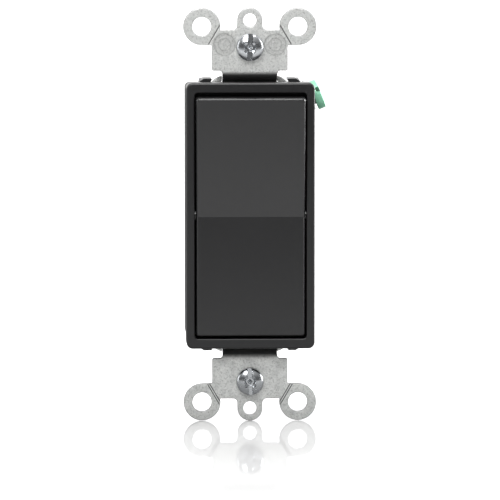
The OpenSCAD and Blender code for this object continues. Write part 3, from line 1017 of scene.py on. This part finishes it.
def paddle_ring(depth, inward, hollow=False):
    """Points round the paddle at a depth behind the face, inset by inward."""
    x = PADDLE_X + (0.1 if hollow else FLARE * depth) - inward
    z = PADDLE_Z - inward
    corner = 0.5 if hollow else max(0.15, 0.7 - inward * 0.6)
    flat_x, flat_z = x - corner, z - corner
    # from the lower right corner up to the top left; the rest is the same, turned half round
    half = (arc(flat_x, -flat_z, corner, -90, 0, 15) + between((x, -flat_z), (x, 0), 7)
            + [(x, 0.0)] + between((x, 0), (x, flat_z), 7)
            + arc(flat_x, flat_z, corner, 0, 90, 15) + between((flat_x, z), (-flat_x, z), 6))
    outline = half + [(-x, -z) for x, z in half]
    return [(x, FACE_Y - FACE_SLOPE * abs(z) + depth, z) for x, z in outline]


def make_shell():
    mesh = bmesh.new()
    crease = [i for i, point in enumerate(paddle_ring(0, 0)) if abs(point[2]) < 1e-6]

    def add_rows(stations, hollow):
        return [[mesh.verts.new(Vector(tilt_point(point)) * MILLI)
                 for point in paddle_ring(depth, inward, hollow)]
                for depth, inward in stations]

    def close_halves(row, step):
        """Two flat faces that share the crease; step is -1 to reverse their winding."""
        first, last = crease
        mesh.faces.new(row[first:last + 1][::step])
        mesh.faces.new((row[last:] + row[:first + 1])[::step])

    # depth behind the face and inset, from the rim forward
    stations = [(PADDLE_DEPTH, 0.08), (5.42, 0.0), (4.2, 0), (3.0, 0), (1.8, 0)]
    for i in range(EDGE_STEPS + 1):
        angle = math.pi / 2 * i / EDGE_STEPS
        stations.append((EDGE_BACK * (1 - math.sin(angle)), EDGE_ACROSS * (1 - math.cos(angle))))
    outside = add_rows(stations, hollow=False)
    bridge_rows(mesh, outside, flip=True)
    close_halves(outside[-1], 1)
    inner = add_rows(HOLLOW, hollow=True)
    bridge_rows(mesh, inner)
    close_halves(inner[-1], -1)
    bridge(mesh, outside[0], inner[0])
    return new_object("paddle_shell", mesh, PADDLE_PLASTIC)


def make_ribs():
    front, back = -5.0, -2.6
    rise = FACE_SLOPE * RIB_Z
    long_rib = densify([(front, 0), (front - rise, RIB_Z), (back - rise, RIB_Z), (back, 0),
                        (back - rise, -RIB_Z), (front - rise, -RIB_Z)], 6)
    cross_rib = [(-5.1, -0.6), (-5.1, 0.6), (-1.4, 0.6), (-1.4, -0.6)]
    ribs = ((long_rib, -8.0, -7.0), (long_rib, 7.0, 8.0),
            (cross_rib, -11.9, -3.3), (cross_rib, 3.3, 11.9))
    return [new_object("rib", slab(outline, [], left, right, tilt_side,
                                   low_round=0.08, high_round=0.08, steps=2), PADDLE_PLASTIC)
            for outline, left, right in ribs]


def sharpen_crease(piece):
    """The crease stays crisp, also over the rounded edges and down the sides."""
    mesh = bmesh.new()
    mesh.from_mesh(piece.data)
    for edge in mesh.edges:
        if all(abs(vert.co.z * math.cos(TILT)
                   - (vert.co.y - PIVOT_Y * MILLI) * math.sin(TILT)) < 1e-6
               for vert in edge.verts):
            edge.smooth = False
    mesh.to_mesh(piece.data)
    mesh.free()


def make_paddle():
    parts = [make_shell()]
    boss = lathe(BOSS_PROFILE, 48, tilt_point((0, 0, 0)), (0, math.cos(TILT), math.sin(TILT)))
    parts.append(new_object("boss", boss, PADDLE_PLASTIC))
    for side in (1, -1):
        trunnion = lathe(TRUNNION_PROFILE, 40, (0, PIVOT_Y, 0), (side, 0, 0))
        parts.append(new_object("trunnion", trunnion, PADDLE_PLASTIC))
    piece = join("paddle_moulding", parts + make_ribs())
    smooth(piece, 40)
    sharpen_crease(piece)
    return piece


register(make_paddle(), "paddle", "rocker")

# ---------------------------------------------------------------- box screws
BOX_HEAD_R, BOX_DOME = 3.4, 1.62


def turned(x, y, angle):
    """The point in axes turned by angle."""
    cos, sin = math.cos(angle), math.sin(angle)
    return x * cos + y * sin, -x * sin + y * cos


def box_dome(radius):
    x = min(1.0, radius / BOX_HEAD_R)
    return BOX_DOME * math.sqrt(1 - (x * 0.985) ** 2) * (0.86 + 0.14 * (1 - x * x))


def box_recess(x, y):
    """Depth below the dome of a straight slot crossed by a diagonal cross."""
    radius = math.hypot(x, y)
    top = box_dome(radius)
    # the slot: floor height, half width and wall slope
    height = min(top, 0.30 + max(0.0, abs(x) - 0.52) * 9.0)
    # the arms of the cross narrow outwards and slope down to the middle
    for angle in (math.pi / 4, -math.pi / 4):
        along, across = turned(x, y, angle)
        along = abs(along)
        half_width = 0.42 * (1 - 0.30 * min(1.0, along / 1.7))
        floor = -0.25 + 0.55 * along
        height = min(height, floor + max(0.0, abs(across) - half_width) * 7.0
                     + max(0.0, along - 1.65) * 6.0)
    # round relief in the middle
    height = min(height, 0.05 + max(0.0, radius - 0.95) * 3.0)
    return top - max(height, -0.35)


def make_box_screw(node, z, body, turn):
    origin = (0, -STRAP_T - 0.05, z)
    head = screw_head(BOX_HEAD_R, 0.62, box_dome, box_recess, origin, (0, -1, 0),
                      up=(math.sin(turn), 0, math.cos(turn)), rings=90, count=192)
    shank = threaded(1.75, 2.2, 25.3, origin, (0, 1, 0), count=44, tip=0.9,
                     neck_radius=1.45, neck_start=-0.3)
    piece = join(node + "_visual", [new_object("head", head, BRIGHT_ZINC),
                                    new_object("shank", shank, BRIGHT_ZINC)])
    smooth(piece, 28, weighted=False)
    register(piece, body, node)


make_box_screw("top_mount_screw", BOX_Z, "top_screw", math.radians(2))
make_box_screw("bottom_mount_screw", -BOX_Z, "bottom_screw", math.radians(-3))

# ---------------------------------------------------------------- terminal and ground screws
TERMINAL_X, TERMINAL_Y, TERMINAL_Z = 12.5, 11.0, 14.0
GROUND_OUT = 26.35                      # underside of the ground screw's head, along its axis


def make_binding_screw(node, body, material, origin, axis, up, radius, slot_width,
                       slot_depth, cross, thread, rise):
    """A low-domed head with a straight slot, and a cross too if asked for. rise is the
    dome's height and thread the start and end of the thread under the head."""
    head_height = 2.1

    def dome(r):
        share = r / radius
        return rise * (1 - share ** 3.0) if share < 1 else 0.0

    def recess(x, y):
        depth = slot_depth * (1 - smoothstep((abs(x) - slot_width / 2 + 0.05) / 0.12))
        if cross:
            for angle in (0, math.pi / 2):
                along, across = turned(x, y, angle)
                along = abs(along)
                if along < 1.7:
                    floor = 0.45 + 0.8 * (1 - smoothstep(along / 1.6))
                    half_width = 0.42 * (1 - 0.3 * along / 1.6)
                    wall = 1 - smoothstep((abs(across) - half_width) / 0.14)
                    end = 1 - smoothstep((along - 1.5) / 0.2)
                    depth = max(depth, floor * wall * end)
        return min(depth, head_height - 0.35 + dome(math.hypot(x, y)))

    head = screw_head(radius, head_height - rise - 0.02, dome, recess, origin, axis, up,
                      rings=56, count=110)
    back = tuple(-value for value in axis)
    shank = threaded(2.08, *thread, origin, back, count=40, tip=0.7,
                     neck_radius=2.0, neck_start=-0.2)
    piece = join(node + "_visual", [new_object("head", head, material),
                                    new_object("shank", shank, material)])
    smooth(piece, 60, weighted=False)
    register(piece, body, node)


for end, node, body, turn in ((1, "line_screw", "line_terminal_screw", 0.35),
                              (-1, "load_screw", "load_terminal_screw", 1.9)):
    make_binding_screw(node, body, BRASS,
                       origin=(TERMINAL_X, TERMINAL_Y, end * TERMINAL_Z), axis=(1, 0, 0),
                       up=(0, math.cos(turn), math.sin(turn)), radius=3.8, slot_width=1.0,
                       slot_depth=0.9, cross=True, thread=(0.25, 3.8), rise=0.38)


def make_ground_screw():
    axis = (math.cos(TAB_ANGLE), 0, math.sin(TAB_ANGLE))
    bend_line = Vector((-math.sin(TAB_ANGLE), 0, math.cos(TAB_ANGLE)))
    origin = Vector(axis) * GROUND_OUT + bend_line * GROUND_ALONG + Vector((0, GROUND_Y, 0))
    turn = math.radians(-68)
    up = bend_line * math.cos(turn) + Vector((0, 1, 0)) * math.sin(turn)
    make_binding_screw("ground_screw", "grounding_screw", GREEN,
                       origin=tuple(origin), axis=axis, up=tuple(up), radius=3.7,
                       slot_width=1.1, slot_depth=0.95, cross=False, thread=(0.3, 5.4),
                       rise=0.26)


make_ground_screw()

# ---------------------------------------------------------------- washers, rivets, spring
for node, body, z in (("top_screw_retainer", "top_washer", BOX_Z),
                      ("bottom_screw_retainer", "bottom_washer", -BOX_Z)):
    washer = slab(circle(0, z, 3.6, 64), [circle(0, z, 1.5, 40)], 0.05, 0.65, upright,
                  low_round=0.07, high_round=0.07, steps=3)
    piece = smooth(new_object(node + "_visual", washer, FIBRE), 50)
    register(piece, body, node)

RIVET_PROFILE = [                       # radius, Y: front head, shank, then hollow back end
    (0, 1.52), (1.55, 1.52), (1.95, 1.62), (2.1, 1.8), (2.1, 1.93), (2.0, 2.0), (1.3, 2.0),
    (1.3, 25.5), (2.0, 25.5), (2.1, 25.58), (2.08, 25.75), (1.85, 25.93), (1.45, 26.0),
    (1.1, 25.95), (0.88, 25.75), (0.8, 25.4), (0.8, 21.6), (0, 21.4)]
rivets = [new_object("rivet", lathe(RIVET_PROFILE, 48, (side * RIVET_X, 0, end * RIVET_Z),
                                    (0, 1, 0)), DULL_ZINC)
          for side in (-1, 1) for end in (-1, 1)]
register(smooth(join("rivets_visual", rivets), 55), "case", "housing_rivets")

SPRING_FRONT, SPRING_BACK = -4.25, 6.35
SPRING_LENGTH = SPRING_BACK - SPRING_FRONT
SPRING_R, WIRE_R, COILS = 1.4, 0.27, 8
COIL_STEPS, WIRE_STEPS = 32, 12


def make_spring():
    mesh = bmesh.new()
    steps = COILS * COIL_STEPS
    rows = []
    for i in range(steps + 1):
        turn = 2 * math.pi * COILS * i / steps
        advance = WIRE_R + (SPRING_LENGTH - 2 * WIRE_R) * i / steps
        row = []
        for j in range(WIRE_STEPS):
            around = 2 * math.pi * j / WIRE_STEPS
            radius = SPRING_R + WIRE_R * math.cos(around)
            point = (radius * math.cos(turn), SPRING_BACK - (advance + WIRE_R * math.sin(around)),
                     radius * math.sin(turn))
            row.append(mesh.verts.new(Vector(tilt_point(point)) * MILLI))
        rows.append(row)
    bridge_rows(mesh, rows, flip=True)
    mesh.faces.new(rows[0])
    mesh.faces.new(list(reversed(rows[-1])))
    return new_object("plunger_spring_visual", mesh, SPRING_STEEL)


spring = smooth(make_spring(), 80, weighted=False)
register(spring, "paddle", "plunger_spring")
tuple(value * MILLI for value in tilt_point((0, SPRING_FRONT, 0)))
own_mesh(spring)


# ---------------------------------------------------------------- CAD nodes that keep their shape
def refine(name, material, width, segments):
    """Give a CAD node its material and rounded edges."""
    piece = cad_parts[name]
    piece.data.materials.clear()
    piece.data.materials.append(material)
    weld = piece.modifiers.new("weld", "WELD")
    weld.merge_threshold = 0.000002
    planar = piece.modifiers.new("planar", "DECIMATE")
    planar.decimate_type = "DISSOLVE"
    planar.angle_limit = math.radians(0.5)
    bevel = piece.modifiers.new("bevel", "BEVEL")
    bevel.width = width * MILLI
    bevel.segments = segments
    bevel.limit_method = "ANGLE"
    bevel.angle_limit = math.radians(35)
    for face in piece.data.polygons:
        face.use_smooth = True
    weighted = piece.modifiers.new("weighted", "WEIGHTED_NORMAL")
    weighted.weight = 80


# node, material, bevel width, bevel segments
for row in (("housing", CASE_PLASTIC, 0.22, 3),
            ("insulator", FIBRE_SHEET, 0.05, 2),
            ("line_terminal", BRASS, 0.08, 3),
            ("load_terminal", BRASS, 0.08, 3),
            ("contact_rocker", BRASS, 0.08, 3),
            ("contact_stop", RUBBER, 0.2, 3),
            ("line_push_in_clip", SPRING_STEEL, 0.05, 2),
            ("load_push_in_clip", SPRING_STEEL, 0.05, 2),
            ("plunger", NYLON, 0.1, 3),
            ("moving_contact", SILVER, 0.05, 2),
            ("fixed_contact", SILVER, 0.08, 3)):
    refine(*row)

# ---------------------------------------------------------------- floor
FLOOR_Z = -51.58
FLOOR_X = (-3000, -1000, -300, 0, 300, 1000, 3000)
FLOOR_Y = (-3000, -310, -200, -120, -60, 0, 60, 200, 600, 4500)
# brightness from front to back, as the camera sees it and as reflections and light meet it
FLOOR_SEEN = [(0.0, 0.74), (0.18, 0.56), (0.33, 0.47), (0.47, 0.46), (0.54, 0.62), (0.85, 0.92)]
FLOOR_MET = [(0.0, 0.54), (0.35, 0.32), (0.52, 0.22), (1.0, 0.12)]


def floor_material():
    material, net, shader = new_material("studio_floor", (0.9, 0.9, 0.9), 0.0, 0.04)
    y = net.axes(net.new("ShaderNodeTexCoord").outputs["Object"])["Y"]
    share = net.remap(y, source=(-0.16, 0.16))
    seen = net.greys(share, FLOOR_SEEN)
    met = net.greys(share, FLOOR_MET)
    met = net.mix(grey(0.16), met, net.remap(y, source=(-0.40, -0.22)))
    is_camera = net.new("ShaderNodeLightPath").outputs["Is Camera Ray"]
    net.feed(shader["Base Color"], net.mix(met, seen, is_camera))
    # its mirror sheen is for the camera only: the object's own reflections meet a matt floor,
    # and it weakens in views from the side, where it would mirror a lamp
    incoming = net.axes(net.new("ShaderNodeNewGeometry").outputs["Incoming"])
    along = net.maths("ABSOLUTE", incoming["Y"])
    sheen = net.remap(along, source=(0.80, 0.95), target=(0.0, 0.5))
    net.feed(shader["Specular IOR Level"], net.maths("MULTIPLY", is_camera, sheen))
    return material


def make_floor():
    mesh = bmesh.new()
    rows = [[mesh.verts.new((x * MILLI, y * MILLI, FLOOR_Z * MILLI)) for x in FLOOR_X]
            for y in FLOOR_Y]
    for near, far in zip(rows, rows[1:]):
        for i in range(len(near) - 1):
            mesh.faces.new((near[i], near[i + 1], far[i + 1], far[i]))
    new_object("studio_floor", mesh, floor_material())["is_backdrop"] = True


make_floor()

# ---------------------------------------------------------------- world
WALL_STRENGTH, BACK_STRENGTH = 25.0, 1.5
# brightness in front of the object, from straight down to straight up
WORLD_FRONT = [(0.0, 0.30), (0.44, 0.14), (0.60, 0.14), (0.80, 0.50), (1.0, 0.70)]
# two tall bright walls beside the object, a little behind it, the right one brighter:
# their extent from down to up, from front to back, and their brightness from left to right
WALL_UPWARD = [(0.20, 0), (0.40, 1), (0.62, 1), (0.85, 0)]
WALL_BACKWARD = [(0.53, 0), (0.62, 1), (0.78, 1), (0.90, 0)]
WALL_ACROSS = [(0.0, 0.03), (0.45, 0.0), (0.70, 0.12), (1.0, 1)]


def make_world():
    scene = bpy.context.scene
    world = scene.world or bpy.data.worlds.new("world")
    scene.world = world
    world.use_nodes = True
    net = Net(world.node_tree)
    background = net.tree.nodes.get("Background") or net.new("ShaderNodeBackground")
    way = net.axes(net.new("ShaderNodeTexCoord").outputs["Generated"])
    upward = net.remap(way["Z"], source=(-1.0, 1.0))
    front = net.greys(upward, WORLD_FRONT)
    behind = net.remap(way["Y"], source=(-0.25, 0.45))
    backward = net.remap(way["Y"], source=(-1.0, 1.0))
    across = net.remap(way["X"], source=(-1.0, 1.0))
    tall = net.greys(upward, WALL_UPWARD)
    band = net.greys(backward, WALL_BACKWARD)
    wall = net.greys(across, WALL_ACROSS)
    wall = net.multiply(net.multiply(wall, band), tall)
    bright = net.new("ShaderNodeVectorMath")
    bright.operation = "SCALE"
    bright.inputs["Scale"].default_value = WALL_STRENGTH
    net.feed(bright.inputs[0], wall)
    both = net.new("ShaderNodeVectorMath")
    both.operation = "ADD"
    net.feed(both.inputs[0], net.mix(front, grey(BACK_STRENGTH), behind))
    net.feed(both.inputs[1], bright.outputs[0])
    net.feed(background.inputs["Color"], both.outputs[0])
    background.inputs["Strength"].default_value = 1.0


make_world()


# ---------------------------------------------------------------- lights and camera
def aim(piece, location, target):
    piece.location = location
    way = Vector(target) - Vector(location)
    piece.rotation_euler = way.to_track_quat("-Z", "Y").to_euler()


def make_light(name, location, target, width, height, radiance):
    data = bpy.data.lights.new(name, "AREA")
    data.shape = "RECTANGLE"
    data.size = width
    data.size_y = height
    data.energy = radiance * math.pi * width * height
    aim(link_object(name, data), location, target)


# name, location, target, width, height, radiance
for row in (("key_top", (-0.15, -0.55, 0.60), (0, 0, 0), 0.60, 0.40, 10.0),
            ("left_strip", (-0.62, -0.12, 0.10), (0, 0, 0), 0.16, 0.60, 2.5),
            ("right_strip", (0.60, -0.06, 0.16), (0, 0, 0.02), 0.16, 0.60, 6.0),
            ("top_strip", (0.0, -0.10, 0.60), (0, 0, 0), 0.60, 0.16, 8.0)):
    make_light(*row)

CAMERA_TURN, CAMERA_RISE = math.radians(-2.2), math.radians(4.5)
CAMERA_DISTANCE = 1.2
VIEW_WIDTH = 0.1247                     # width in view at the target
SENSOR_WIDTH = 36


def make_camera():
    data = bpy.data.cameras.new("camera")
    camera = link_object("camera", data)
    target = Vector((0.00006, 0.0, -0.0089))
    away = Vector((math.sin(CAMERA_TURN) * math.cos(CAMERA_RISE),
                   -math.cos(CAMERA_TURN) * math.cos(CAMERA_RISE), math.sin(CAMERA_RISE)))
    aim(camera, target + away * CAMERA_DISTANCE, target)
    data.sensor_width = SENSOR_WIDTH
    data.lens = SENSOR_WIDTH * CAMERA_DISTANCE / VIEW_WIDTH
    data.clip_start = 0.01
    data.clip_end = 50
    bpy.context.scene.camera = camera


make_camera()
bpy.context.scene.view_settings.view_transform = "Standard"
bpy.context.scene.view_settings.look = "None"


def as_lists(box):
    return [[float(value) for value in corner] for corner in (box[0], box[1])]


{"cad": as_lists(CAD_BOX), "visual": as_lists(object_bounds())}
